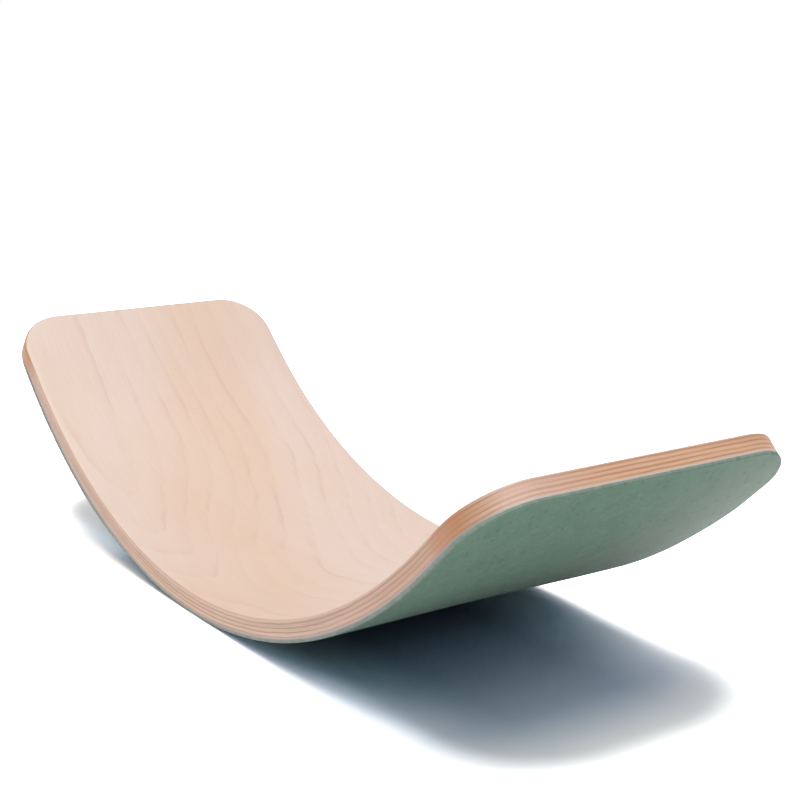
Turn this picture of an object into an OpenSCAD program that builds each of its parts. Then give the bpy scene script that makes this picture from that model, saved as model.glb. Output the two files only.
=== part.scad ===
// Curvy balance board: nine pressed veneers and a felt sheet.
// The board lies along X, its width lies along Y, and it rests on the floor at z = 0.
// Every layer is the same sheet, drawn at its own depth below the board's upper face.

/* [Board] */
// Width of the board, across the rocking direction
board_w = 300; // [240:1:360]
// Radius of the upper face in the curved middle
curve_r = 540; // [480:1:620]
// Angle from the middle of the board to each end of the curve
curve_half_angle = 42; // [34:1:48]
// Length of the straight stretch at each end
end_straight = 84; // [70:1:130]
// Radius of the four rounded corners
corner_r = 50; // [20:1:65]
// Radius of the rounded upper edge, which runs all the way round
edge_r = 2.5; // [1:0.1:4]

/* [Layers] */
// Thickness of one veneer
veneer_t = 1.8; // [1.2:0.1:2.4]
// Thickness of the felt sheet
felt_t = 3; // [2:0.5:5]

/* [Hidden] */
// Number of veneers in the stack
veneer_count = 9;
// Number of veneers that lie above each one
above_face_count = 0;
above_crossband_1_count = 1;
above_inner_1_count = 2;
above_crossband_2_count = 3;
above_core_count = 4;
above_crossband_3_count = 5;
above_inner_2_count = 6;
above_crossband_4_count = 7;
above_back_count = 8;
// Thickness of all veneers together
wood_t = veneer_count * veneer_t;
// Height of the curve's axis above the floor
axis_z = felt_t + wood_t + curve_r;
// Length of the plain strip between the curve and the corners
strip_l = end_straight - corner_r;
// Width between the two corners of one end
between_corners = board_w - 2 * corner_r;
// Turns used to lay the drawn sections along the board
quarter_turn = 90;
half_turn = 180;
// How far a cut runs past the surface it opens
overrun = 1;
// Angle by which the two drawn halves of a sheet run past the middle, so that they join in one piece
lap_angle = 2;
// Steps of a full circle for the curve, the corners and the rounded edge
curve_steps = 288;
corner_steps = 96;
edge_steps = 32;
// Colours of the upper face, the pale and dark veneers and the felt
face_colour = [0.92, 0.83, 0.75];
pale_colour = [0.86, 0.71, 0.60];
dark_colour = [0.72, 0.56, 0.44];
felt_colour = [0.42, 0.51, 0.45];

// What the rounded edge takes off a square corner, about the centre of its rounding
module edge_waste() {
    difference() {
        square([edge_r + overrun, edge_r + overrun]);
        circle(r = edge_r, $fn = edge_steps);
    }
}

// Section across the whole width of a sheet: distance below its upper face along x, width along y
module width_section(depth, thick) {
    difference() {
        translate([0, -board_w / 2])
            square([thick, board_w]);
        if (depth < edge_r) {
            translate([edge_r - depth, board_w / 2 - edge_r])
                rotate(quarter_turn)
                    edge_waste();
            translate([edge_r - depth, edge_r - board_w / 2])
                rotate(half_turn)
                    edge_waste();
        }
    }
}

// Section of a sheet's border at an end: distance outwards along x, height along y
module border_section(depth, thick) {
    difference() {
        translate([0, -thick])
            square([corner_r, thick]);
        if (depth < edge_r)
            translate([corner_r - edge_r, depth - edge_r])
                edge_waste();
    }
}

// One straight end, from the end of the curve outwards along +X, its upper face at z = 0
module straight_end(depth, thick) {
    rotate([0, quarter_turn, 0])
        linear_extrude(height = strip_l)
            width_section(depth, thick);
    translate([strip_l, 0, 0]) {
        rotate([quarter_turn, 0, 0])
            linear_extrude(height = between_corners, center = true)
                border_section(depth, thick);
        translate([0, between_corners / 2, 0])
            rotate_extrude(angle = quarter_turn, $fn = corner_steps)
                border_section(depth, thick);
        translate([0, -between_corners / 2, 0])
            rotate([0, 0, -quarter_turn])
                rotate_extrude(angle = quarter_turn, $fn = corner_steps)
                    border_section(depth, thick);
    }
}

// One half of a sheet, about the curve's axis: half of the curve and one straight end
module half_sheet(depth, thick) {
    rotate([0, -curve_half_angle, 0]) {
        rotate([0, quarter_turn, 0])
            rotate([-quarter_turn, 0, 0])
                rotate_extrude(angle = curve_half_angle + lap_angle, $fn = curve_steps)
                    translate([curve_r + depth, 0])
                        width_section(depth, thick);
        translate([0, 0, -curve_r - depth])
            straight_end(depth, thick);
    }
}

// A whole sheet at its depth below the board's upper face
module sheet(depth, thick) {
    translate([0, 0, axis_z])
        for (side = [0, half_turn])
            rotate([0, 0, side])
                half_sheet(depth, thick);
}

// A veneer with so many others above it
module veneer(above_count) {
    sheet(above_count * veneer_t, veneer_t);
}

// The upper veneer, which the rounded edge runs through
module face_veneer() {
    color(face_colour)
        veneer(above_face_count);
}

// The second veneer, where the rounded edge ends
module crossband_1() {
    color(dark_colour)
        veneer(above_crossband_1_count);
}

module inner_veneer_1() {
    color(pale_colour)
        veneer(above_inner_1_count);
}

module crossband_2() {
    color(dark_colour)
        veneer(above_crossband_2_count);
}

module core_veneer() {
    color(pale_colour)
        veneer(above_core_count);
}

module crossband_3() {
    color(dark_colour)
        veneer(above_crossband_3_count);
}

module inner_veneer_2() {
    color(pale_colour)
        veneer(above_inner_2_count);
}

module crossband_4() {
    color(dark_colour)
        veneer(above_crossband_4_count);
}

// The lowest veneer, which carries the felt
module back_veneer() {
    color(pale_colour)
        veneer(above_back_count);
}

// The felt, glued to the back veneer and cut level with the wood's edge
module felt_sheet() {
    color(felt_colour)
        sheet(wood_t, felt_t);
}

face_veneer();
crossband_1();
inner_veneer_1();
crossband_2();
core_veneer();
crossband_3();
inner_veneer_2();
crossband_4();
back_veneer();
felt_sheet();
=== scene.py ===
# %% [markdown]
# # A curvy balance board
#
# The board is one wide plank of moulded plywood: nine thin veneers, glued and pressed into a bow. Felt is glued
# to its convex underside, so that it rocks quietly on a floor. This lesson dresses the finished construction:
# it lays every sheet again as a fine surface, gives wood and felt their grain, and lights them as in a studio.
#
# The construction is loaded first. Its pieces stand where they belong, in metres, and nothing here moves them.

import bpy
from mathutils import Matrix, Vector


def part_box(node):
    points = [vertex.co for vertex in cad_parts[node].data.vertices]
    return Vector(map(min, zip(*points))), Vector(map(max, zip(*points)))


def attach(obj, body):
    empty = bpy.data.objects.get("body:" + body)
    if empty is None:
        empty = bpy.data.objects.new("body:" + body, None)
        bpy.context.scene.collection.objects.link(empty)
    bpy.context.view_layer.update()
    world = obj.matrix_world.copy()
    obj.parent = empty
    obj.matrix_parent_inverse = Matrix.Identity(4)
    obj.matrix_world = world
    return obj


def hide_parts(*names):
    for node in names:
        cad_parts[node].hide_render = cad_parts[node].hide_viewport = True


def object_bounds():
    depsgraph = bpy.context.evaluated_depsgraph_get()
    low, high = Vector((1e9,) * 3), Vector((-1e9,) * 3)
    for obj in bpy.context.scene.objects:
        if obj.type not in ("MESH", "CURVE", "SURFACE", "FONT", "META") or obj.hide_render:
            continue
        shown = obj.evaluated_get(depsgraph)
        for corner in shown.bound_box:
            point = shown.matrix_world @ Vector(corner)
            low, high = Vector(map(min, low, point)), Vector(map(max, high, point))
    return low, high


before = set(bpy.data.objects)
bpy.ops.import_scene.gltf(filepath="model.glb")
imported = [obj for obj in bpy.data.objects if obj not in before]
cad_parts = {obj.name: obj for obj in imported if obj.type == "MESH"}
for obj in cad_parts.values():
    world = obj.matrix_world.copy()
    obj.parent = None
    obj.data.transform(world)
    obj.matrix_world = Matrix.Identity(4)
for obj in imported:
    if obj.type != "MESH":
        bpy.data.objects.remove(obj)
cad_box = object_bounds()
print("pieces loaded:", ", ".join(sorted(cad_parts)))

# %% Libraries
import math

import bpy
import numpy as np
from mathutils import Matrix

scene = bpy.context.scene
print("box of the construction, m:", [round(v, 4) for v in cad_box[1] - cad_box[0]])

# %% [markdown]
# ## Sizes
#
# A few sizes describe the whole bow. The width and the thicknesses are read from the construction, so that the
# new surfaces land on the old solids. Each veneer's lowest point lies in the middle of the board, and the steps
# between those points give the thickness of one veneer.

# %% Sizes of the bow, in metres
CURVE_RADIUS = 0.54
HALF_ANGLE = math.radians(42)
END_STRAIGHT = 0.084
CORNER_RADIUS = 0.05
EDGE_RADIUS = 0.0025
VENEERS = ["face_veneer", "crossband_1", "inner_veneer_1", "crossband_2", "core_veneer",
           "crossband_3", "inner_veneer_2", "crossband_4", "back_veneer"]


def lowest(node):
    """Height of a piece's lowest point."""
    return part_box(node)[0].z


steps_down = VENEERS.index("back_veneer") - VENEERS.index("inner_veneer_1")
veneer_t = (lowest("inner_veneer_1") - lowest("back_veneer")) / steps_down
felt_t = lowest("back_veneer") - lowest("felt_sheet")
wood_t = len(VENEERS) * veneer_t
board_w = cad_box[1].y - cad_box[0].y
axis_z = lowest("felt_sheet") + felt_t + wood_t + CURVE_RADIUS
half_length = CURVE_RADIUS * HALF_ANGLE + END_STRAIGHT
corner_start = half_length - CORNER_RADIUS
print(f"veneer {veneer_t * 1000:.2f} mm, wood {wood_t * 1000:.1f} mm, felt {felt_t * 1000:.1f} mm")
print(f"upper face laid flat: {2 * half_length * 1000:.0f} mm by {board_w * 1000:.0f} mm")

# %% [markdown]
# ## Camera
#
# The board is seen from beyond its right end, from a little above, so that the hollow face, the striped edge and
# the felt under the near end all show. The focal length is given in pixels of an 800 pixel picture, which is how
# a measured lens is written down.

# %% Camera
CAMERA_PLACE = (1.1529, -0.6935, 0.4712)
VIEW_AZIMUTH = math.radians(56.173)
VIEW_ELEVATION = math.radians(12.352)
VIEW_ROLL = math.radians(-0.652)
PICTURE_PIXELS = 800
FOCAL_PIXELS = 1475.9


def add_object(name, data):
    """Makes an object and puts it into the scene."""
    made = bpy.data.objects.new(name, data)
    scene.collection.objects.link(made)
    return made


camera = add_object("camera", bpy.data.cameras.new("camera"))
camera.data.lens = FOCAL_PIXELS / PICTURE_PIXELS * camera.data.sensor_width
turned = Matrix.Rotation(VIEW_AZIMUTH, 4, "Z") @ Matrix.Rotation(math.pi / 2 - VIEW_ELEVATION, 4, "X")
camera.matrix_world = Matrix.Translation(CAMERA_PLACE) @ turned @ Matrix.Rotation(VIEW_ROLL, 4, "Z")
scene.camera = camera
print(f"lens {camera.data.lens:.1f} mm on a {camera.data.sensor_width:.0f} mm sensor")

# %% [markdown]
# ## Bending a flat sheet
#
# On the real board every layer starts flat and is pressed into the bow. Here too a sheet is drawn flat, as a
# plain rounded rectangle, and one function bends it. The flat coordinates are kept on the mesh, because wood
# grain follows the flat sheet and not the space around it.

# %% Bend
def bend(flat):
    """Bends flat points (along, across, depth), where depth goes down from the upper face.

    Over the curve a point turns about the axis by along / radius, at radius + depth from it.
    Past the curve the turn stays at the half angle, and the rest of along runs straight on.
    """
    along, across, depth = np.moveaxis(flat, -1, 0)
    turn = np.clip(along / CURVE_RADIUS, -HALF_ANGLE, HALF_ANGLE)
    straight = along - CURVE_RADIUS * turn
    reach = CURVE_RADIUS + depth
    x = reach * np.sin(turn) + straight * np.cos(turn)
    z = axis_z - reach * np.cos(turn) + straight * np.sin(turn)
    return np.stack([x, across, z], axis=-1)


tip = bend(np.array([half_length, 0.0, wood_t + felt_t]))
print(f"the felt's end lies at x = {tip[0] * 1000:.1f} mm, the construction's at {cad_box[1].x * 1000:.1f} mm")

# %% [markdown]
# ## A sheet as a grid
#
# A rounded rectangle can be filled by one grid, whose cross lines stand at stations along the board. Each is as
# wide as the outline is there. Drawing the outline in by an inset only makes the corner's radius smaller, so
# grids with different insets match line by line, and a rim can join them.

# %% Lines of a grid
WOOD_GRID = {"step": 0.01, "corner_count": 24, "across_count": 24}


def grid_lines(step, corner_count, across_count):
    """Base place along the board and angle round the corner of each cross line, and shares across.

    Bases run in even steps to the start of the corners. There the base stays and the angle runs
    from zero to a quarter turn, at either end.
    """
    plain = np.linspace(-corner_start, corner_start, round(2 * corner_start / step) + 1)
    base = np.pad(plain, corner_count, mode="edge")
    quarter = np.linspace(0, math.pi / 2, corner_count + 1)[1:]
    angle = np.concatenate([-quarter[::-1], np.zeros(len(plain)), quarter])
    return base, angle, np.linspace(-1, 1, across_count + 1)


def flat_grid(inset, depth, base, angle, shares):
    """Flat points of a rounded rectangle, drawn in by inset, at one depth.

    along = base + (corner radius - inset) * sin(angle), and the half width there is
    half the board - corner radius + (corner radius - inset) * cos(angle), times the share across.
    """
    round_r = CORNER_RADIUS - inset
    along = (base + round_r * np.sin(angle))[:, None]
    half_width = (board_w / 2 - CORNER_RADIUS + round_r * np.cos(angle))[:, None]
    return np.stack(np.broadcast_arrays(along, half_width * shares, depth), axis=-1)


wood_lines = grid_lines(**WOOD_GRID)
print(f"a veneer's grid: {len(wood_lines[0])} cross lines of {len(wood_lines[2])} points")

# %% Closed sheet
def border(grid):
    """The border of a grid as one loop: along the near side, over the end, back and over the first end."""
    return np.concatenate([grid[:-1, 0], grid[-1, :-1], grid[:0:-1, -1], grid[0, :0:-1]])


def closed_sheet(profile, base, angle, shares):
    """A closed sheet: an upper grid, a rim carried round its border by the profile, and a lower grid.

    The profile is a row of (inset, depth) from the upper face's border to the lower face's border.
    Returns the flat points, the quads and each point's turn: 0 on a long side, 1 on an end.
    """
    grids = [flat_grid(inset, depth, base, angle, shares) for inset, depth in profile]
    turns = np.broadcast_to(np.abs(angle)[:, None] / (math.pi / 2), grids[0].shape[:2])
    loops = [border(grid) for grid in grids[1:-1]]
    flat = np.concatenate([grids[0].reshape(-1, 3), grids[-1].reshape(-1, 3), *loops])
    turn = np.concatenate([turns.ravel(), turns.ravel(), *[border(turns)] * len(loops)])
    upper = np.arange(turns.size).reshape(turns.shape)
    lower = upper + turns.size
    loop_size = len(border(upper))
    between = 2 * turns.size + np.arange(len(loops) * loop_size).reshape(-1, loop_size)
    rim = [border(upper), *between, border(lower)]
    face = np.stack([upper[:-1, :-1], upper[1:, :-1], upper[1:, 1:], upper[:-1, 1:]], axis=-1).reshape(-1, 4)
    quads = [face, face[:, ::-1] + turns.size]
    for above, below in zip(rim, rim[1:]):
        quads.append(np.stack([above, below, np.roll(below, -1), np.roll(above, -1)], axis=-1))
    return flat, np.concatenate(quads), turn


flat, quads, turn = closed_sheet([(0, 0), (0, veneer_t)], *wood_lines)
print(f"points less quads, 2 on any closed sheet: {len(flat) - len(quads)}")

# %% From arrays to a piece
SHARP_EDGE = math.radians(40)


def bent_piece(name, flat, quads, values):
    """Makes an object of the bent points and quads, with its flat points and other values as attributes."""
    mesh = bpy.data.meshes.new(name)
    mesh.vertices.add(len(flat))
    mesh.vertices.foreach_set("co", bend(flat).ravel())
    mesh.loops.add(quads.size)
    mesh.loops.foreach_set("vertex_index", quads.ravel())
    mesh.polygons.add(len(quads))
    mesh.polygons.foreach_set("loop_start", np.arange(0, quads.size, 4))
    mesh.update(calc_edges=True)
    mesh.attributes.new("laid_flat", "FLOAT_VECTOR", "POINT").data.foreach_set("vector", flat.ravel())
    for key, value in values.items():
        mesh.attributes.new(key, "FLOAT", "POINT").data.foreach_set("value", value)
    mesh.shade_smooth()
    mesh.set_sharp_from_angle(angle=SHARP_EDGE)
    return add_object(name, mesh)


print(f"edges of more than {math.degrees(SHARP_EDGE):.0f} degrees stay sharp")

# %% [markdown]
# ## The nine veneers
#
# The rounded upper edge is sanded through the first veneer and just into the second. So each veneer's rim follows
# the same curve: how far the edge is drawn in at a given depth. The crossbands, whose fibres lie across the
# board, shrink a little more than the others and stand back by a hair.

# %% Lay the veneers
RIM_COUNT = 8
SLIVER = 0.01
STAND_BACK = 0.00004


def edge_inset(depth):
    """How far the rounded edge is drawn in at a depth: radius - sqrt(radius^2 - (radius - depth)^2)."""
    above = np.clip(EDGE_RADIUS - depth, 0, EDGE_RADIUS)
    return EDGE_RADIUS - np.sqrt(EDGE_RADIUS**2 - above**2)


def veneer_profile(number, stand_back):
    """The rim of one veneer, from its upper to its lower face, at even angles over the rounded part."""
    upper, lower = number * veneer_t, (number + 1) * veneer_t
    angles = np.linspace(*np.arccos(np.clip(1 - np.array([upper, lower]) / EDGE_RADIUS, 0, 1)), RIM_COUNT + 1)
    depth = EDGE_RADIUS * (1 - np.cos(angles)) if upper < EDGE_RADIUS else np.array([upper, lower])
    depth = np.append(depth, lower) if lower - depth[-1] > SLIVER * veneer_t else depth
    return np.stack([edge_inset(depth) + stand_back, depth], axis=-1)


bent = {}
for number, node in enumerate(VENEERS):
    stand_back = STAND_BACK if node.startswith("crossband") else 0.0
    flat, quads, turn = closed_sheet(veneer_profile(number, stand_back), *wood_lines)
    bent[node] = bent_piece(f"bent_{node}", flat, quads, {"end_turn": turn})
    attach(bent[node], "root")
    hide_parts(node)
    print(f"{bent[node].name}: {len(flat)} points, {len(quads)} quads")

# %% [markdown]
# ## The felt
#
# Needle felt is a mat of fibres, cut with a knife after it is glued on. Its cut edge is nearly square, but soft
# below, and it wavers by a fraction of a millimetre. Its face is never quite level. Both come from smooth waves:
# sines with random directions and phases. The seed is fixed, so every run gives one felt.
#
# Towards the far right corner the glue has let go a little: the felt stands out past the wood there and hangs a
# hair lower. On the left half of the near side it was cut slightly proud. Both move the flat points before the
# sheet is bent, so that they follow the bow. The mesh also keeps how far the cut ends of the fibres show, which
# fades out round the edge onto the lower face.

# %% Waves for the felt
FELT_SEED = 7
RELIEF_LENGTHS = np.geomspace(0.008, 0.06, 24)
WAVER_LENGTHS = np.geomspace(0.005, 0.04, 12)


def waves(places, lengths, rng):
    """Mean of sine waves over flat places, one for each wave length, each in its own direction and phase."""
    heading = rng.uniform(0, 2 * math.pi, len(lengths))
    phase = rng.uniform(0, 2 * math.pi, len(lengths))
    direction = np.stack([np.cos(heading), np.sin(heading)])
    return np.sin(places @ (direction * (2 * math.pi / lengths)) + phase).mean(axis=-1)


print(f"{len(RELIEF_LENGTHS)} waves for the felt's face and {len(WAVER_LENGTHS)} for its edge")

# %% Loose and proud edges of the felt
LOOSE_REACH = 0.005
LOOSE_SAG = 0.0024
REACH_RISE = (0.32, 0.39)
SAG_RISE = (0.1, 0.19)
LOOSE_FALL = (0.42, 0.475)
LOOSE_ACROSS = (-0.03, 0.15)
FELT_PROUD = 0.0009
PROUD_RISE = (0.12, 0.26)
PROUD_FALL = (0.41, 0.45)
PROUD_ACROSS = (0.08, 0.15)


def smooth(value, start, end):
    """A smooth step from 0 at start to 1 at end: 3 t^2 - 2 t^3."""
    t = np.clip((value - start) / (end - start), 0, 1)
    return t * t * (3 - 2 * t)


def hump(value, rise, fall):
    """A smooth step up over the rise, times a smooth step down over the fall."""
    return smooth(value, *rise) * (1 - smooth(value, *fall))


def loose_share(along, across, rise):
    """How far the felt has come away: a hump that ends at the right corners, rising to the far side."""
    return hump(along, rise, LOOSE_FALL) * smooth(across, *LOOSE_ACROSS)


def proud_share(along, across):
    """Where the felt was cut proud: a hump along the left half, rising to the near side."""
    return hump(-along, PROUD_RISE, PROUD_FALL) * smooth(-across, *PROUD_ACROSS)


print(f"felt past the wood, mm: {LOOSE_REACH * 1000:.1f} at the far side, {FELT_PROUD * 1000:.1f} at the near")

# %% Cut fibres of the felt
SOFT_RADIUS = 0.001
CUT_BORDER = 0.003
CUT_SHARES = (1.0, 0.85, 0.5)
CUT_SHARES_LOW = (1.2, 1.4, 1.3)
LOW_RISE = (-0.22, -0.14)
LOW_FALL = (0.11, 0.2)
soft_start = wood_t + felt_t - SOFT_RADIUS
half_size = np.array([half_length, board_w / 2])


def inside_outline(flat):
    """Distance of flat points from the outline, a rounded rectangle, on its inner side.

    With q = |place| - half size + corner radius, it is the corner radius minus the length of max(q, 0),
    minus min(the larger q, 0).
    """
    q = np.abs(flat[:, :2]) - half_size + CORNER_RADIUS
    return CORNER_RADIUS - np.linalg.norm(np.maximum(q, 0), axis=-1) - np.minimum(q.max(axis=-1), 0)


def cut_fibres(flat):
    """How far the cut ends of the fibres show: a share at the glue, one where the rounding starts and one at
    the lower face, fading out over a narrow border there. Low on the bow they show more.
    """
    along, depth = flat[:, 0], flat[:, 2]
    depths = [wood_t, soft_start, wood_t + felt_t]
    low = hump(along, LOW_RISE, LOW_FALL)
    down = np.interp(depth, depths, CUT_SHARES) * (1 - low) + np.interp(depth, depths, CUT_SHARES_LOW) * low
    return down * (1 - smooth(inside_outline(flat), SOFT_RADIUS, SOFT_RADIUS + CUT_BORDER))


print(f"cut fibres show over {(felt_t + CUT_BORDER) * 1000:.0f} mm from the glue")

# %% Grid of the felt
FELT_GRID = {"step": 0.003, "corner_count": 28, "across_count": 100}
FELT_SIDE_COUNT = 3
SOFT_COUNT = 7

side_depth = np.linspace(wood_t, soft_start, FELT_SIDE_COUNT, endpoint=False)
soft_angle = np.linspace(0, math.pi / 2, SOFT_COUNT)
inset = np.concatenate([np.zeros(FELT_SIDE_COUNT), SOFT_RADIUS * (1 - np.cos(soft_angle))])
depth = np.concatenate([side_depth, soft_start + SOFT_RADIUS * np.sin(soft_angle)])
flat, quads, turn = closed_sheet(np.stack([inset, depth], axis=-1), *grid_lines(**FELT_GRID))
cut = cut_fibres(flat)
print(f"the felt's grid: {len(flat)} points, {len(quads)} quads")

# %% Shape of the felt
FELT_RELIEF = 0.0002
RELIEF_MIDDLE = 0.5
RELIEF_POWER = 4
FELT_WAVER = 0.00025
GLUED_PART = 0.25
REACH_AT_GLUE = 0.6

rng = np.random.default_rng(FELT_SEED)
relief = waves(flat[:, :2], RELIEF_LENGTHS, rng)
waver = waves(flat[:, :2], WAVER_LENGTHS, rng)
along, across, depth = flat.T  # views, so that a change to one changes the flat points
below = np.clip((depth - wood_t) / felt_t, 0, 1)
free = np.clip(below / GLUED_PART, 0, 1)
depth -= FELT_RELIEF * (RELIEF_MIDDLE + relief) * below**RELIEF_POWER
flat[:, :2] *= 1 - (FELT_WAVER * waver * free)[:, None] / half_size
across -= FELT_PROUD * proud_share(along, across) * free
reach = loose_share(along, across, REACH_RISE)
sag = loose_share(along, across, SAG_RISE)
across += LOOSE_REACH * reach * (REACH_AT_GLUE + (1 - REACH_AT_GLUE) * below)
depth += LOOSE_SAG * sag * below
print(f"felt across: {across.min() * 1000:.1f} mm to {across.max() * 1000:.1f} mm")

# %% Lay the felt
felt = bent_piece("bent_felt", flat, quads, {"end_turn": turn, "cut_edge": cut})
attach(felt, "root")
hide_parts("felt_sheet")

# %% [markdown]
# ## Wiring shaders
#
# Materials are built from nodes. A small helper adds a node, and each value that it gets is either a socket,
# which it links, or a plain number or colour, which it types in. A fade is written as start and end, and then
# the low and high value, where they are not 0 and 1. Noise is written as scale, detail and roughness. Colours
# are written as they look on a screen, from 0 to 255, and turned into linear light.

# %% Helper for nodes
class Wiring:
    """Adds nodes to one node tree and links them."""

    def __init__(self, tree):
        self.tree = tree

    def put(self, socket, value):
        """Links a socket's value, or types it in."""
        if isinstance(value, bpy.types.NodeSocket):
            self.tree.links.new(value, socket)
        else:
            socket.default_value = value

    def node(self, kind, settings=None, *first, **inputs):
        """Adds a node with settings, its first inputs in turn and others by name, with _ for a space."""
        made = self.tree.nodes.new("ShaderNode" + kind)
        for key, value in (settings or {}).items():
            setattr(made, key, value)
        for socket, value in zip(made.inputs, first):
            self.put(socket, value)
        for key, value in inputs.items():
            self.put(made.inputs[key.replace("_", " ")], value)
        return made

    def attribute(self, name, output):
        """A value that the mesh carries."""
        return self.node("Attribute", {"attribute_name": name}).outputs[output]

    def group(self, tree, **inputs):
        """Places a node group and returns its outputs."""
        return self.node("Group", {"node_tree": tree}, **inputs).outputs

    def split(self, vector):
        """The three parts of a vector."""
        return self.node("SeparateXYZ", Vector=vector).outputs[:]

    def join(self, first, second):
        """A vector of two parts."""
        return self.node("CombineXYZ", X=first, Y=second).outputs[0]

    def math(self, operation, *values):
        """One step of arithmetic."""
        return self.node("Math", {"operation": operation}, *values).outputs[0]

    def plus(self, first, *others):
        """A sum."""
        for other in others:
            first = self.math("ADD", first, other)
        return first

    def times(self, first, *others):
        """A product."""
        for other in others:
            first = self.math("MULTIPLY", first, other)
        return first

    def rest(self, share):
        """What a share leaves of one."""
        return self.math("SUBTRACT", 1.0, share)

    def apart(self, first, second):
        """How far two values lie apart."""
        return self.math("ABSOLUTE", self.math("SUBTRACT", first, second))

    def fade(self, value, start, end, low=0.0, high=1.0):
        """A smooth step of value from start to end, put out from low to high."""
        made = self.node("MapRange", {"interpolation_type": "SMOOTHSTEP"}, Value=value, From_Min=start,
                         From_Max=end, To_Min=low, To_Max=high)
        return made.outputs[0]

    def fall(self, value, start, end):
        """A smooth step down, from 1 at start to 0 at end."""
        return self.fade(value, start, end, 1.0, 0.0)

    def hump(self, value, rise, fall):
        """A step up over the rise, times a step down over the fall."""
        return self.times(self.fade(value, *rise), self.fall(value, *fall))

    def mix(self, share, first, second, blend="MIX"):
        """A mix of two colours; on this node they are inputs 6 and 7, and output 2."""
        made = self.node("Mix", {"data_type": "RGBA", "blend_type": blend})
        for number, value in zip((0, 6, 7), (share, first, second)):
            self.put(made.inputs[number], value)
        return made.outputs[2]


print("node helper ready")

# %% Helper for colours and patterns
NOISE_SPAN = (0.3, 0.7)


def colour(red, green, blue):
    """Linear colour of a screen colour, by the standard curve of screens."""
    value = np.array([red, green, blue]) / 255
    linear = np.where(value <= 0.04045, value / 12.92, ((value + 0.055) / 1.055) ** 2.4)
    return (*linear.tolist(), 1.0)


def stretch(wire, vector, scale, turn):
    """Coordinates scaled along each axis, then turned, so that two patterns of one kind differ."""
    return wire.node("Mapping", {"vector_type": "POINT"}, Vector=vector, Scale=scale,
                     Rotation=(0, 0, turn)).outputs[0]


def noise(wire, vector, scale, detail=2.0, roughness=0.5, turn=0.0):
    """Soft noise of about one cell a unit, after scaling."""
    made = wire.node("TexNoise", {"noise_dimensions": "3D"}, Vector=stretch(wire, vector, scale, turn),
                     Scale=1.0, Detail=detail, Roughness=roughness)
    return made.outputs["Fac"]


def spots(wire, vector, channel, size, choice, scale, turn=0.0):
    """Spots in the middle of some cells, chosen by a channel of the cell's own colour."""
    cells = wire.node("TexVoronoi", {"voronoi_dimensions": "2D", "feature": "F1"}, Scale=1.0,
                      Vector=stretch(wire, vector, scale, turn))
    chosen = wire.node("SeparateColor", Color=cells.outputs["Color"]).outputs[channel]
    return wire.times(wire.fall(cells.outputs["Distance"], *size), wire.fade(chosen, *choice))


print(f"half grey on a screen is {colour(128, 128, 128)[0]:.2f} of the light")

# %% Helper for groups and materials
def new_group(name, inputs, outputs):
    """A shader node group with named sockets, and the wiring inside it."""
    group = bpy.data.node_groups.new(name, "ShaderNodeTree")
    for side, sockets in {"INPUT": inputs, "OUTPUT": outputs}.items():
        for socket, kind in sockets.items():
            group.interface.new_socket(socket, in_out=side, socket_type="NodeSocket" + kind)
    return group, Wiring(group), group.nodes.new("NodeGroupInput"), group.nodes.new("NodeGroupOutput")


def new_material(name):
    """An empty material with a principled shader."""
    made = bpy.data.materials.new(name)
    made.use_nodes = True
    return made, Wiring(made.node_tree), made.node_tree.nodes["Principled BSDF"]


def give_surface(wire, shader, tone, roughness, height, bump, others=None):
    """Gives a shader its colour, roughness, relief and others; bump is a strength and a height in metres."""
    strength, distance = bump
    relief = wire.node("Bump", Height=height, Strength=strength, Distance=distance)
    values = {"Base Color": tone, "Roughness": roughness, "Normal": relief.outputs["Normal"]}
    for key, value in {**values, **(others or {})}.items():
        wire.put(shader.inputs[key], value)


print("material helper ready")

# %% [markdown]
# ## Grain on a cut edge
#
# Plywood shows its make at the edge. Where a veneer's fibres lie along the edge, the saw leaves long
# streaks. Where they are cut across, the ends of the pores show as fine dots. One node group mixes both, so that
# every veneer can use it with its own direction. Its coordinate runs along the whole rim: along minus across,
# because one of the two stands still on each side of the board.

# %% Node group: cut grain
CUT_STREAKS = ((30, 2300, 1), 3.0, 0.6)
CUT_PORES = ((900, 1500, 1), 2.0, 0.7)


def rim_path(wire, flat):
    """Place along the rim, which is along minus across, and depth."""
    along, across, depth = wire.split(flat)
    return wire.math("SUBTRACT", along, across), depth


def cut_grain_group():
    """Streaks and pores on a cut edge, mixed by how far the fibres are cut across."""
    group, wire, given, result = new_group("cut grain", {"Flat": "Vector", "Cut Across": "Float"},
                                           {"Grain": "Float"})
    edge = wire.join(*rim_path(wire, given.outputs["Flat"]))
    mixed = wire.node("Mix", {"data_type": "FLOAT"}, Factor=given.outputs["Cut Across"])
    wire.put(mixed.inputs[2], noise(wire, edge, *CUT_STREAKS))
    wire.put(mixed.inputs[3], noise(wire, edge, *CUT_PORES))
    wire.put(result.inputs["Grain"], mixed.outputs[0])
    return group


cut_grain = cut_grain_group()
print("group made:", cut_grain.name)

# %% [markdown]
# ## Colour along the rim
#
# On the long sides the edge is a pinkish cream with browner crossbands. Towards a corner it turns to caramel:
# partly the tone of fibres cut at a slant there, and partly painted shade, where the edge turns away from the
# light. Past the corner it is palest, and the end itself is a warm peach. The mesh carries a value for this, from
# 0 on the long sides to 1 on the ends.

# %% Edge colours, pale and dark
SIDE = colour(218, 184, 158), colour(184, 144, 115)
# caramel of the corners: partly the slant-cut fibres' tone, partly painted shade
CORNER_TONE_AND_SHADE = colour(198, 142, 99), colour(189, 131, 87)
BLUSH = colour(226, 192, 172), colour(208, 170, 146)
END = colour(223, 178, 143), colour(188, 137, 99)
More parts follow.
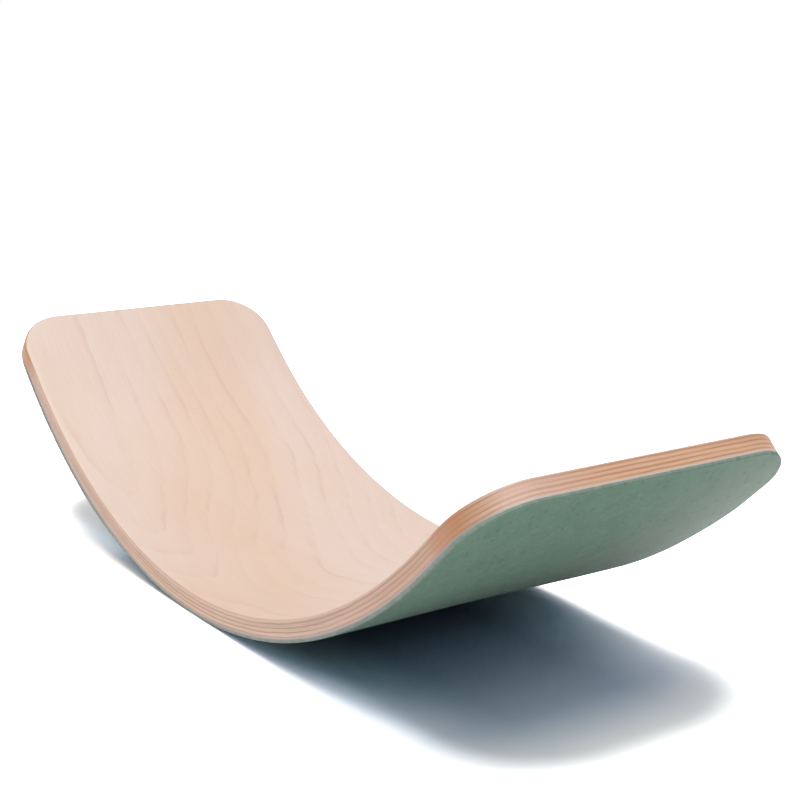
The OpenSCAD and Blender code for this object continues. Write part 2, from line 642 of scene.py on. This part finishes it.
# brown of grain lines and glue lines, and of the painted shade at the face's arris
LINE_AND_SHADE_BROWN = colour(146, 104, 78)
SEAM_GREY = colour(160, 158, 150)
SEAM_END = colour(206, 192, 180)
print(f"a dark veneer is {SIDE[1][1] / SIDE[0][1]:.2f} times as light as a pale one")

# %% Node group: edge tone
# where the caramel lies, near the corners and towards the right end: partly painted shade
CARAMEL_BEFORE = (0.042, 0.002)
CARAMEL_RIGHT = (0.15, 0.42, 0.0, 0.34)
CARAMEL_TURN = (0.12, 0.62)
END_TURN = (0.45, 0.7)
BLUSH_ACROSS = (-0.14, -0.03)


def edge_tone_group():
    """Colour of an edge, from its place on the rim and its darkness: 0 for a pale veneer, 1 for a dark one."""
    group, wire, given, result = new_group("edge tone", {"Flat": "Vector", "Turn": "Float", "Dark": "Float"},
                                           {"Color": "Color", "Caramel": "Float"})
    turn = given.outputs["Turn"]
    along, across = wire.split(given.outputs["Flat"])[:2]
    # caramel near the corners: partly slant-cut fibres, partly painted shade where the edge turns from the light
    near_corner = wire.fade(wire.math("ABSOLUTE", along), *[corner_start - before for before in CARAMEL_BEFORE])
    near_corner = wire.math("MAXIMUM", near_corner, wire.fade(along, *CARAMEL_RIGHT))
    caramel_and_shade = wire.times(near_corner, wire.fall(turn, *CARAMEL_TURN))
    on_end = wire.fade(turn, *END_TURN)
    blush = wire.times(on_end, wire.fall(across, *BLUSH_ACROSS))
    tones = []
    for side, corner, pale_end, end in zip(SIDE, CORNER_TONE_AND_SHADE, BLUSH, END):
        tone = wire.mix(blush, wire.mix(on_end, side, end), pale_end)
        tones.append(wire.mix(caramel_and_shade, tone, corner))
    wire.put(result.inputs["Color"], wire.mix(given.outputs["Dark"], *tones))
    wire.put(result.inputs["Caramel"], caramel_and_shade)
    return group


edge_tone = edge_tone_group()
print("group made:", edge_tone.name)

# %% [markdown]
# ## Glue lines
#
# Between two veneers lies a film of glue, darker than the wood and so thin that it comes and goes. Its distance
# is known from the depth alone, because every veneer has the same thickness.

# %% Node group: glue line
GLUE_LINE_WIDTH = 0.00022
FIRST_LINE_BELOW = 0.5
GLUE_GAPS = (25, 3.7, 1)
GLUE_FADE = (0.35, 0.65, 0.1, 1.0)


def glue_line_group():
    """A thin line where one veneer meets the next: 1 on the line, 0 away from it.

    The distance to the nearest line is the depth's distance to a whole number of veneers.
    """
    group, wire, given, result = new_group("glue line", {"Flat": "Vector"}, {"Line": "Float"})
    path, depth = rim_path(wire, given.outputs["Flat"])
    layers = wire.math("DIVIDE", depth, veneer_t)
    nearest = wire.math("ROUND", layers)
    line = wire.fall(wire.apart(layers, nearest), 0.0, GLUE_LINE_WIDTH / veneer_t)
    below_face = wire.math("GREATER_THAN", layers, FIRST_LINE_BELOW)
    gaps = wire.fade(noise(wire, wire.join(path, nearest), GLUE_GAPS), *GLUE_FADE)
    wire.put(result.inputs["Line"], wire.times(line, below_face, gaps))
    return group


glue_line = glue_line_group()
print("group made:", glue_line.name)

# %% [markdown]
# ## Finish of the veneers
#
# No two veneers have the same tone. So each gets a darkness on the long sides, one on the ends and a drift, by
# which a slow noise moves it along the rim. The crossbands show as dark bands that waver. On the long sides a
# band lies low in its crossband and runs into the veneer below, because the open ends of the fibres drink glue
# and lacquer there. On the ends it lies in the crossband's middle. The last veneer turns grey towards the felt.

# %% Dark bands
DRIFT_SCALE = 7.0
DRIFT_APART = 7.3
BAND_QUICK = ((5, 1, 1), 2.0)
BAND_SLOW = ((2, 1.3, 1), 3.0, 0.6)
BAND_STRENGTH = (0.45, 1.2)
BAND_HALF = 0.42
BAND_SOFT = (0.3, 1.2)
BAND_SIDE = 0.82
BAND_END = 0.45
BAND_WAVER = 0.28


def drift_place(wire, path, number):
    """Coordinates for noise along the rim, apart for each veneer."""
    return wire.join(wire.times(path, DRIFT_SCALE), number * DRIFT_APART)


def dark_band(wire, path, depth, on_end, number):
    """The dark band of a crossband: about 1 on its wavering middle line, 0 away from it."""
    place = drift_place(wire, path, number)
    strength = wire.fade(noise(wire, place, *BAND_SLOW), *NOISE_SPAN, *BAND_STRENGTH)
    waver = wire.fade(noise(wire, place, *BAND_QUICK), *NOISE_SPAN, 0.0, BAND_WAVER)
    middle = wire.plus(wire.fade(on_end, 0.0, 1.0, BAND_SIDE, BAND_END), number - BAND_WAVER / 2, waver)
    off = wire.apart(wire.math("DIVIDE", depth, veneer_t), middle)
    return wire.times(strength, wire.fall(wire.math("DIVIDE", off, BAND_HALF), *BAND_SOFT))


print(f"a dark band is about {2 * BAND_HALF * veneer_t * 1000:.1f} mm wide")

# %% Edge of one veneer
VENEER_TONES = [(0.0, 0.1, 0.1), (0.1, 0.15, 0.2), (0.25, 0.2, 0.3), (0.3, 0.15, 0.2), (0.2, 0.05, 0.25),
                (0.2, 0.3, 0.2), (0.0, 0.05, 0.2), (0.05, 0.1, 0.2), (0.05, -0.1, 0.15)]
EDGE_DRIFT = ((1, 1, 1), 3.0, 0.6)
EDGE_TURN = (0.35, 0.75)
CARAMEL_HIDES = 0.75
GRAIN_FADE = (0.45, 0.75, 0.0, 0.3)
GLUE_SHARE = 0.4
SEAM_HEIGHT = 0.0026
SEAM_SHARE = 0.9


def veneer_edge(wire, number, fibres_across):
    """Colour and grain of one veneer's cut edge.

    Darkness goes from its side to its end value as the rim turns, drifts along it, and gets the dark band of
    the crossband, or of the one above, on top.
    """
    side_dark, end_dark, drift = VENEER_TONES[number]
    flat = wire.attribute("laid_flat", "Vector")
    turn = wire.attribute("end_turn", "Fac")
    path, depth = rim_path(wire, flat)
    on_end = wire.fade(turn, *EDGE_TURN)
    slow = noise(wire, drift_place(wire, path, number), *EDGE_DRIFT)
    drifting = wire.fade(slow, *NOISE_SPAN, -drift, drift)
    dark = wire.plus(wire.times(on_end, end_dark - side_dark), side_dark, drifting)
    if number > 0:
        crossband = number if fibres_across else number - 1
        dark = wire.plus(dark, dark_band(wire, path, depth, on_end, crossband))
    across = wire.rest(turn) if fibres_across else turn
    grain = wire.group(cut_grain, Flat=flat, Cut_Across=across)["Grain"]
    edge = wire.group(edge_tone, Flat=flat, Turn=turn, Dark=wire.node("Clamp", Value=dark).outputs[0])
    lines = wire.rest(wire.times(edge["Caramel"], CARAMEL_HIDES))
    glue = wire.group(glue_line, Flat=flat)["Line"]
    tone = wire.mix(wire.times(lines, wire.fade(grain, *GRAIN_FADE)), edge["Color"], LINE_AND_SHADE_BROWN)
    tone = wire.mix(wire.times(lines, glue, GLUE_SHARE), tone, LINE_AND_SHADE_BROWN)
    seam = wire.mix(on_end, SEAM_GREY, SEAM_END)
    return wire.mix(wire.fade(depth, wood_t - SEAM_HEIGHT, wood_t, 0.0, SEAM_SHARE), tone, seam), grain


print(f"the wood greys over the last {SEAM_HEIGHT * 1000:.1f} mm above the felt")

# %% Inner veneers
EDGE_ROUGHNESS = (0.2, 0.8, 0.46, 0.62)
EDGE_BUMP = (0.35, 0.0001)


def veneer_material(node, number):
    """An inner veneer, of which only the edge shows."""
    made, wire, shader = new_material(f"{node}_edge")
    tone, grain = veneer_edge(wire, number, node.startswith("crossband"))
    give_surface(wire, shader, tone, wire.fade(grain, *EDGE_ROUGHNESS), grain, EDGE_BUMP)
    return made


for number, node in enumerate(VENEERS):
    if number > 0:
        bent[node].data.materials.append(veneer_material(node, number))
print("edges finished:", ", ".join(VENEERS[1:]))

# %% [markdown]
# ## The upper face
#
# The face veneer is peeled from a log in one long ribbon. The knife follows the growth rings, so they open into
# long lines that wander along the board, and here and there close in a tongue. They could be painted, but a
# formula gives the same: a height over the sheet, of which the whole numbers are the rings. On the pale wood they
# are faint, thin and broken. A broad warm streak crosses the board slantwise. Fine fibres and the short flecks of
# the rays lie on top, under a satin lacquer.

# %% Growth rings
TONGUE_ACROSS = -0.112
TONGUE_ROUND = 0.014
TONGUE_ALONG = (-0.3, 0.04)
TONGUE_RINGS = 4.2
RING_SPACING = 0.025
RING_WANDER = 2.8
RING_TREMBLE = 0.5
WANDER_NOISE = ((2.2, 8.0, 1), 2.0, 0.4)
TREMBLE_NOISE = ((16, 70, 1), 3.0, 0.6)


def growth_rings(wire, flat):
    """Ring height: the rounded distance from the tongue's middle line in ring spacings, plus a slope that
    closes the tongue over its length, plus a slow wander and a small tremble. Returns the fraction of it.
    """
    along, across = wire.split(flat)[:2]
    off = wire.math("SUBTRACT", across, TONGUE_ACROSS)
    rounded = wire.math("SQRT", wire.plus(wire.times(off, off), TONGUE_ROUND**2))
    slope = wire.fade(along, *TONGUE_ALONG, 0.0, TONGUE_RINGS)
    wander = wire.times(noise(wire, flat, *WANDER_NOISE), RING_WANDER)
    tremble = wire.times(noise(wire, flat, *TREMBLE_NOISE), RING_TREMBLE)
    return wire.math("FRACT", wire.plus(wire.math("DIVIDE", rounded, RING_SPACING), slope, wander, tremble))


print(f"rings lie {RING_SPACING * 1000:.0f} mm apart beside the tongue")

# %% Tones of the face
FACE_PALE = colour(228, 206, 189)
FACE_WARM = colour(226, 197, 172)
FACE_LINE = colour(196, 156, 130)
STREAK_SLANT = 0.367
STREAK_MIDDLE = -0.098
STREAK_HALF = (0.02, 0.11)
STREAK_SHARE = 0.6
CLOUD_NOISE = ((3.5, 12.0, 1), 3.0, 0.6)
CLOUD_FADE = (0.32, 0.68, 0.0, 0.5)
SILK_NOISE = ((22, 420, 1), 2.0)
SILK_FADE = (0.4, 0.75, 0.0, 0.07)
FIBRE_NOISE = ((30, 1900, 1), 3.0, 0.55)
FIBRE_FADE = (0.4, 0.75, 0.0, 0.1)
BROKEN_NOISE = ((7, 32, 1), 3.0, 0.6)
BROKEN_FADE = (0.44, 0.66)
RING_RISE = (0.7, 0.93)
RING_FALL = (0.95, 1.0)
RING_SHARE = 0.22
RING_SHADE = (0.1, 0.95, 0.0, 0.05)
FLECKS = {"channel": "Red", "size": (0.05, 0.26), "choice": (0.6, 0.95), "scale": (130, 560, 1)}
FLECK_SHARE = 0.3
FLECK_DEPTH = 0.6
print(f"the warm streak slants by {math.degrees(math.atan(STREAK_SLANT)):.0f} degrees")

# %% Figure of the face
def warm_streak(wire, flat):
    """A broad warm streak that crosses the board slantwise: 1 on its middle line, 0 beside it."""
    along, across = wire.split(flat)[:2]
    off = wire.apart(wire.plus(across, wire.times(along, STREAK_SLANT)), STREAK_MIDDLE)
    return wire.fall(off, *STREAK_HALF)


def face_figure(wire, flat):
    """Colour and relief of the upper face: slow clouds of tone, rings, silky streaks, fibres and flecks."""
    ring = growth_rings(wire, flat)
    broken = wire.fade(noise(wire, flat, *BROKEN_NOISE), *BROKEN_FADE)
    fibres = noise(wire, flat, *FIBRE_NOISE)
    flecks = spots(wire, flat, **FLECKS)
    clouds = wire.fade(noise(wire, flat, *CLOUD_NOISE), *CLOUD_FADE)
    warm = wire.plus(clouds, wire.times(warm_streak(wire, flat), STREAK_SHARE))
    tone = wire.mix(wire.node("Clamp", Value=warm).outputs[0], FACE_PALE, FACE_WARM)
    shares = [wire.fade(ring, *RING_SHADE),
              wire.times(wire.hump(ring, RING_RISE, RING_FALL), broken, RING_SHARE),
              wire.fade(noise(wire, flat, *SILK_NOISE), *SILK_FADE),
              wire.fade(fibres, *FIBRE_FADE),
              wire.times(flecks, broken, FLECK_SHARE)]
    for share in shares:
        tone = wire.mix(share, tone, FACE_LINE)
    return tone, wire.math("SUBTRACT", fibres, wire.times(flecks, FLECK_DEPTH))


print("figure of the face ready")

# %% Material of the face
# painted shade along the rounded arris of the face: its depths and strength
ARRIS_RISE = (0.00001, 0.0001)
ARRIS_FALL = (0.0003, 0.0009)
ARRIS_PAINTED_SHADE = 0.3
FACE_DEPTH = (0.00001, 0.0002)
FACE_ROUGHNESS = (0.0, 0.8, 0.5, 0.4)
FACE_BUMP = (0.2, 0.00006)
LACQUER = {"Coat Weight": 0.1, "Coat Roughness": 0.35}


def face_material():
    """The lacquered face veneer: figure above, a cut edge from the rounding down, and painted shade at the arris.
    """
    made, wire, shader = new_material("face_wood")
    flat = wire.attribute("laid_flat", "Vector")
    figure, relief = face_figure(wire, flat)
    edge = veneer_edge(wire, 0, False)[0]
    depth = wire.split(flat)[2]
    # painted shade: the rounded arris is browned, standing in for the shading of the rounding
    edge = wire.mix(wire.times(wire.hump(depth, ARRIS_RISE, ARRIS_FALL), ARRIS_PAINTED_SHADE), edge, LINE_AND_SHADE_BROWN)
    tone = wire.mix(wire.fade(depth, *FACE_DEPTH), figure, edge)
    give_surface(wire, shader, tone, wire.fade(relief, *FACE_ROUGHNESS), relief, FACE_BUMP, LACQUER)
    return made


bent["face_veneer"].data.materials.append(face_material())
print("face finished")

# %% [markdown]
# ## Felt fibres
#
# Needle felt is a mat of short fibres in several tones of one colour. From a step away it is an even grey-green
# with small dark specks, a few pale hairs and soft clumps. Its cut edge shows the fibres end on, paler and greyer,
# most of all low on the bow and in a thin line along the glue. Beside the loose edge a greyer patch is painted
# sheen, for the light that the bright floor behind throws onto the nap. The mean of three fine noises, drawn out
# along the board, gives the fibres, and a little sheen gives the soft light that a nap has at its rim.

# %% Felt pattern
FELT_GREEN = colour(131, 160, 139)
FELT_DEEP = colour(107, 138, 116)
FELT_PALE = colour(155, 178, 162)
FELT_SPECK = colour(66, 92, 76)
FELT_CUT = colour(186, 174, 171)
# painted sheen: the greyer tone of the patch beside the loose edge
FELT_PAINTED_SHEEN = colour(152, 155, 151)
FELT_FIBRES = ((240, 1300, 500), 3.0, 0.6)
FIBRE_TURN = 0.3
# where the painted sheen lies, beside the loose edge
SHEEN_PATCH_RISE = (0.2, 0.31)
SHEEN_PATCH_FALL = (0.44, 0.5)
SHEEN_PATCH_ACROSS = (-0.03, 0.12)


def felt_fibres(wire, flat):
    """The mean of three noises, each turned a sixth of a turn further, so that none repeats another."""
    turns = [FIBRE_TURN + k * math.pi / 3 for k in range(3)]
    layers = [noise(wire, flat, *FELT_FIBRES, turn) for turn in turns]
    return wire.math("DIVIDE", wire.plus(*layers), len(layers))


def painted_sheen_patch(wire, flat):
    """Where the greyer patch of painted sheen lies, beside the loose edge: 1 in its middle, 0 away from it."""
    along, across = wire.split(flat)[:2]
    return wire.times(wire.hump(along, SHEEN_PATCH_RISE, SHEEN_PATCH_FALL), wire.fade(across, *SHEEN_PATCH_ACROSS))


print("cells of the felt's fibres, mm:", [round(1000 / cells, 1) for cells in FELT_FIBRES[0]])

# %% Shares in the felt
CLUMP_NOISE = ((210, 210, 210), 3.0, 0.65)
HAZE_NOISE = ((45, 45, 45), 2.0)
FELT_BASE = (0.35, 0.65, 0.35, 0.85)
CLUMP_FADE = (0.45, 0.75, 0.0, 0.25)
HAZE_FADE = (0.4, 0.7, 0.0, 0.3)
# how strongly the painted sheen shows
SHEEN_PATCH_SHARE = 0.38
SPECK = {"channel": "Green", "size": (0.02, 0.24), "choice": (0.65, 0.88333)}
SPECK_CELLS = {"scale": (75, 125, 1), "turn": 0.5}
HAIR_CELLS = {"scale": (130, 110, 1), "turn": 2.1}
SPECK_SHARE = 0.38
HAIR_SHARE = 0.25
CUT_TURN = (0.0, 0.8, 0.78, 0.25)
CUT_RAGGED = (0.35, 0.65, 0.35, 1.0)
CUT_GREEN = (0.35, 0.65, 0.0, 0.25)
CUT_GLUE = (wood_t + 0.0002, wood_t + 0.001, 0.8, 0.0)
CLUMP_HEIGHT = 0.5
FELT_ROUGHNESS = (0.85, 1.0)
FELT_BUMP = (0.2, 0.0004)
NAP = {"Specular IOR Level": 0.0, "Sheen Weight": 0.03, "Sheen Roughness": 0.5,
       "Sheen Tint": (0.95, 0.8, 0.88, 1.0)}
print(f"cut fibres count {CUT_TURN[2]:.2f} on the long sides, {CUT_TURN[3]:.2f} on the ends")

# %% Material of the felt
def cut_share(wire, flat, clumps):
    """How far the pale cut fibres show: the mesh's value, less on the ends, or the line along the glue."""
    depth = wire.split(flat)[2]
    edge = wire.times(wire.attribute("cut_edge", "Fac"), wire.fade(wire.attribute("end_turn", "Fac"), *CUT_TURN))
    shown = wire.math("MAXIMUM", edge, wire.fade(depth, *CUT_GLUE))
    return wire.times(shown, wire.fade(clumps, *CUT_RAGGED))


def felt_material():
    """Heathered needle felt with a paler cut edge and a patch of painted sheen beside the loose edge."""
    made, wire, shader = new_material("felt")
    flat = wire.attribute("laid_flat", "Vector")
    fibres = felt_fibres(wire, flat)
    clumps = noise(wire, flat, *CLUMP_NOISE)
    haze = noise(wire, flat, *HAZE_NOISE)
    specks = spots(wire, flat, **SPECK, **SPECK_CELLS)
    hairs = spots(wire, flat, **SPECK, **HAIR_CELLS)
    tone = wire.mix(wire.fade(fibres, *FELT_BASE), FELT_DEEP, FELT_GREEN)
    tone = wire.mix(wire.fade(clumps, *CLUMP_FADE), tone, FELT_PALE)
    tone = wire.mix(wire.fade(haze, *HAZE_FADE), tone, FELT_DEEP)
    # painted sheen: a greyer patch beside the loose edge, for the light of the bright floor behind
    tone = wire.mix(wire.times(painted_sheen_patch(wire, flat), SHEEN_PATCH_SHARE), tone, FELT_PAINTED_SHEEN)
    tone = wire.mix(wire.times(specks, SPECK_SHARE), tone, FELT_SPECK)
    tone = wire.mix(wire.times(hairs, HAIR_SHARE), tone, FELT_PALE)
    cut_tone = wire.mix(wire.fade(clumps, *CUT_GREEN), FELT_CUT, FELT_GREEN)
    tone = wire.mix(cut_share(wire, flat, clumps), tone, cut_tone)
    height = wire.plus(fibres, wire.times(clumps, CLUMP_HEIGHT))
    give_surface(wire, shader, tone, wire.fade(fibres, *NOISE_SPAN, *FELT_ROUGHNESS), height, FELT_BUMP, NAP)
    return made


felt.data.materials.append(felt_material())
print("felt finished")

# %% [markdown]
# ## Floor
#
# The floor is white, and it does two jobs: it throws light back at the board, and it is seen. Its material keeps
# them apart. For the light that it throws back, it is greyer under the board than in the open, a painted shadow
# that keeps the felt deep. For the camera and for reflections it is brighter, so that it runs out to plain white.
# The shadow stays, reshaped by painted light and shade: a little blue deep inside, about neutral towards its
# outline, lighter along its long sides and at its right end, and darkest beside the line where the felt touches.
# Under the left end a painted glow lifts it to a pale grey, as where a second light reaches in. One formula, the
# distance to the board's footprint, tells under from open.

# %% Tones of the floor
FLOOR_HALF = 30.0
# painted shadow: the floor is greyer under the board for the light it throws back
FLOOR_PAINTED_SHADOW = (0.29, 0.29, 0.29, 1.0)
FLOOR_OPEN = (0.86, 0.86, 0.86, 1.0)
# painted light: the glow that lifts the seen shadow under the left end
FLOOR_PAINTED_GLOW = (0.365, 0.355, 0.34, 1.0)
SHADOW_TINT = (0.97, 1.03, 1.12, 1.0)
LEFT_TINT = (1.11, 1.00, 0.87, 1.0)
RIM_TINT = (1.03, 1.03, 0.99, 1.0)
FLOOR_SEEN = 2.6
LEFT_SEEN = 1.2
# painted light and shade in the seen shadow: lighter sides and right end, darker beside the contact
SIDES_PAINTED_LIGHT = 0.8
END_PAINTED_LIGHT = 0.28
CONTACT_PAINTED_SHADE = 0.6
UNDER_OUTSIDE = (-0.0425, 0.0075)
LEFT_ALONG = (-0.22, -0.12)
LIFTED_OUTSIDE = (-0.044, -0.016)
SIDES_ACROSS = (0.05, 0.13)
SIDES_ALONG = (0.29, 0.42)
SIDES_OUTSIDE = (-0.03, 0.01)
CONTACT_RISE = (-0.14, -0.06)
CONTACT_FALL = (0.12, 0.23)
CONTACT_ACROSS = (0.05, 0.12)
END_ALONG = (0.22, 0.37)
END_OUTSIDE = (-0.045, -0.01)
RIM_RISE = (-0.12, -0.02)
RIM_FALL = (0.02, 0.05)
TINT_ALONG = (-0.12, 0.04)
TINT_OUTSIDE = (0.0, 0.03)
print(f"the floor throws back {FLOOR_PAINTED_SHADOW[0]:.2f} under the board, {FLOOR_OPEN[0]:.2f} in the open")

# %% Distance to the footprint
FLOOR_CORNER = 0.12
FLOOR_HALF_SIZE = (0.455, 0.157)
FLOOR_MIDDLE = (0.0, 0.008)


def outside_footprint(wire, place):
    """Distance to the footprint's outline, negative inside: the felt outline's formula, its sign turned."""
    parts = [wire.math("SUBTRACT", wire.apart(here, middle), half - FLOOR_CORNER)
             for here, middle, half in zip(place, FLOOR_MIDDLE, FLOOR_HALF_SIZE)]
    beyond = [wire.math("MAXIMUM", part, 0.0) for part in parts]
    length = wire.math("SQRT", wire.plus(*[wire.times(part, part) for part in beyond]))
    within = wire.math("MINIMUM", wire.math("MAXIMUM", *parts), 0.0)
    return wire.math("SUBTRACT", wire.plus(length, within), FLOOR_CORNER)


print(f"the footprint is {2000 * FLOOR_HALF_SIZE[0]:.0f} mm by {2000 * FLOOR_HALF_SIZE[1]:.0f} mm")

# %% How the floor is seen
def split_by_ray(wire, output, as_light, as_seen):
    """Gives an output one shader as light, and another for rays from the camera, reflections and glass."""
    path = wire.node("LightPath").outputs
    shiny = wire.math("MAXIMUM", path["Is Glossy Ray"], path["Is Transmission Ray"])
    seen = wire.math("MAXIMUM", path["Is Camera Ray"], shiny)
    mixed = wire.node("MixShader", None, seen, as_light, as_seen).outputs[0]
    wire.put(wire.tree.nodes[output].inputs["Surface"], mixed)


def floor_gain(wire, along, across, outside, painted_lift):
    """How much brighter the floor is when it is seen: FLOOR_SEEN, more along the shadow's long sides and at its
    right end as painted light, less beside the contact line as painted shade, and LEFT_SEEN under the painted
    glow.
    """
    off_middle = wire.math("ABSOLUTE", across)
    contact = wire.hump(along, CONTACT_RISE, CONTACT_FALL)
    # painted light: the seen shadow is lighter along its long sides and at its right end
    sides = wire.times(wire.fade(off_middle, *SIDES_ACROSS, 0.0, FLOOR_SEEN * SIDES_PAINTED_LIGHT), wire.rest(contact),
                       wire.fall(along, *SIDES_ALONG), wire.fall(outside, *SIDES_OUTSIDE))
    end = wire.times(wire.fade(along, *END_ALONG, 0.0, FLOOR_SEEN * END_PAINTED_LIGHT), wire.fall(outside, *END_OUTSIDE))
    # painted shade: the seen floor is darker beside the contact line
    deep = wire.times(contact, wire.fade(off_middle, *CONTACT_ACROSS, CONTACT_PAINTED_SHADE, 0.0))
    gain = wire.times(wire.plus(sides, end, FLOOR_SEEN), wire.rest(deep))
    return wire.plus(gain, wire.times(wire.math("SUBTRACT", LEFT_SEEN, gain), painted_lift))


def floor_tint(wire, along, outside):
    """Tint of the floor when it is seen: blue deep in the shadow, about neutral towards its outline and
    warmer at the left end.
    """
    rim = wire.hump(outside, RIM_RISE, RIM_FALL)
    at_left = wire.times(wire.fall(along, *TINT_ALONG), wire.fall(outside, *TINT_OUTSIDE))
    return wire.mix(at_left, wire.mix(rim, SHADOW_TINT, RIM_TINT), LEFT_TINT)


print(f"gain of the floor when seen: {FLOOR_SEEN}, at the left {LEFT_SEEN}")

# %% Material of the floor
def floor_material():
    """White floor, grey under the board as a painted shadow, that looks brighter where it is seen directly."""
    made, wire, shader = new_material("white_floor")
    wire.tree.nodes.remove(shader)
    along, across = wire.split(wire.node("TexCoord").outputs["Object"])[:2]
    outside = outside_footprint(wire, (along, across))
    left = wire.fall(along, *LEFT_ALONG)
    # where the painted glow lifts the seen shadow, under the left end
    painted_lift = wire.times(left, wire.fall(outside, *LIFTED_OUTSIDE))
    # the floor's tone: a painted shadow under the board, the open tone outside it and at the left end
    tone = wire.mix(wire.math("MAXIMUM", wire.fade(outside, *UNDER_OUTSIDE), left), FLOOR_PAINTED_SHADOW, FLOOR_OPEN)
    gain = floor_gain(wire, along, across, outside, painted_lift)
    tinted = wire.mix(1.0, tone, floor_tint(wire, along, outside), "MULTIPLY")
    seen = wire.node("VectorMath", {"operation": "SCALE"}, tinted, Scale=gain).outputs[0]
    # painted light: the floor glows under the left end, as where a second light reaches in
    painted_glow = wire.node("Emission", Color=FLOOR_PAINTED_GLOW, Strength=painted_lift).outputs[0]
    as_light, as_seen = [wire.node("BsdfDiffuse", Color=value).outputs[0] for value in (tone, seen)]
    as_seen = wire.node("AddShader", None, as_seen, painted_glow).outputs[0]
    split_by_ray(wire, "Material Output", as_light, as_seen)
    return made


floor_mesh = bpy.data.meshes.new("floor")
corners = FLOOR_HALF * np.array([(-1, -1, 0), (1, -1, 0), (1, 1, 0), (-1, 1, 0)])
floor_mesh.from_pydata(corners.tolist(), [], [(0, 1, 2, 3)])
floor_mesh.materials.append(floor_material())
floor = add_object("floor", floor_mesh)
print(f"floor laid: {2 * FLOOR_HALF:.0f} m wide")

# %% [markdown]
# ## Light
#
# Two broad soft lights hang above, one narrower than the other and both tilted a little, so the shadow is nearly
# the board's own footprint: deep where it touches, and lighter towards the raised ends. Sun lamps with a wide
# angle do this evenly over the whole floor. A low lamp from the front lights the striped edge without reaching
# far under the board, and without glare on the lacquer.

# %% Soft lamps
SOFT_LAMPS = {"overhead_narrow": ((0.55, 0.55, 0.51), 40, 15, 84),
              "overhead_wide": ((0.38, 0.33, 0.29), 86, 15, 84),
              "front_low": ((0.24, 0.23, 0.21), 3, -84, 1.5)}


def sun_lamp(name, light, angle, azimuth, elevation):
    """A sun from an azimuth and elevation, in degrees; light is what a white surface facing it sends back."""
    lamp = add_object(name, bpy.data.lights.new(name, "SUN"))
    lamp.data.energy = math.pi * max(light)
    lamp.data.color = [part / max(light) for part in light]
    lamp.data.angle = math.radians(angle)
    lamp.rotation_euler = (0, math.radians(90 - elevation), math.radians(azimuth))
    return lamp


lamps = {name: sun_lamp(name, *values) for name, values in SOFT_LAMPS.items()}
lamps["front_low"].visible_glossy = False
print("lamps:", ", ".join(lamps))

# %% [markdown]
# ### Light behind the board
#
# The felt is lightest towards the far corner, where it faces the bright floor behind the board. A small lamp
# shines straight down on that floor. It does not reach the board, only what the floor throws back does.

# %% Lamp behind
BEHIND_PLACE = (0.4, 0.33, 1.6)
BEHIND_CONE = math.radians(11)
BEHIND_LIGHT = {"energy": 570.0, "color": (1.0, 0.8, 0.86), "spot_size": BEHIND_CONE, "spot_blend": 0.6,
                "shadow_soft_size": 0.05}

behind = add_object("behind", bpy.data.lights.new("behind", "SPOT"))
behind.location = BEHIND_PLACE
for key, value in BEHIND_LIGHT.items():
    setattr(behind.data, key, value)
print(f"lamp behind: cone {2 * BEHIND_PLACE[2] * math.tan(BEHIND_CONE / 2):.2f} m wide on the floor")

# %% [markdown]
# ### Room
#
# The room is plain white where it is seen, and a weak bluish fill as light. On a level surface room and lamps
# add up to about one, so that a colour looks as it is written.

# %% Room
ROOM_LIGHT = (0.05, 0.1, 0.24, 1.0)
ROOM_SEEN = (1.0, 1.0, 1.0, 1.0)

world = bpy.data.worlds.new("white_room")
world.use_nodes = True
scene.world = world
wire = Wiring(world.node_tree)
fill = wire.tree.nodes["Background"]
wire.put(fill.inputs["Color"], ROOM_LIGHT)
backdrop = wire.node("Background", Color=ROOM_SEEN).outputs[0]
split_by_ray(wire, "World Output", fill.outputs[0], backdrop)
scene.view_settings.view_transform = "Standard"
print("room set:", world.name)
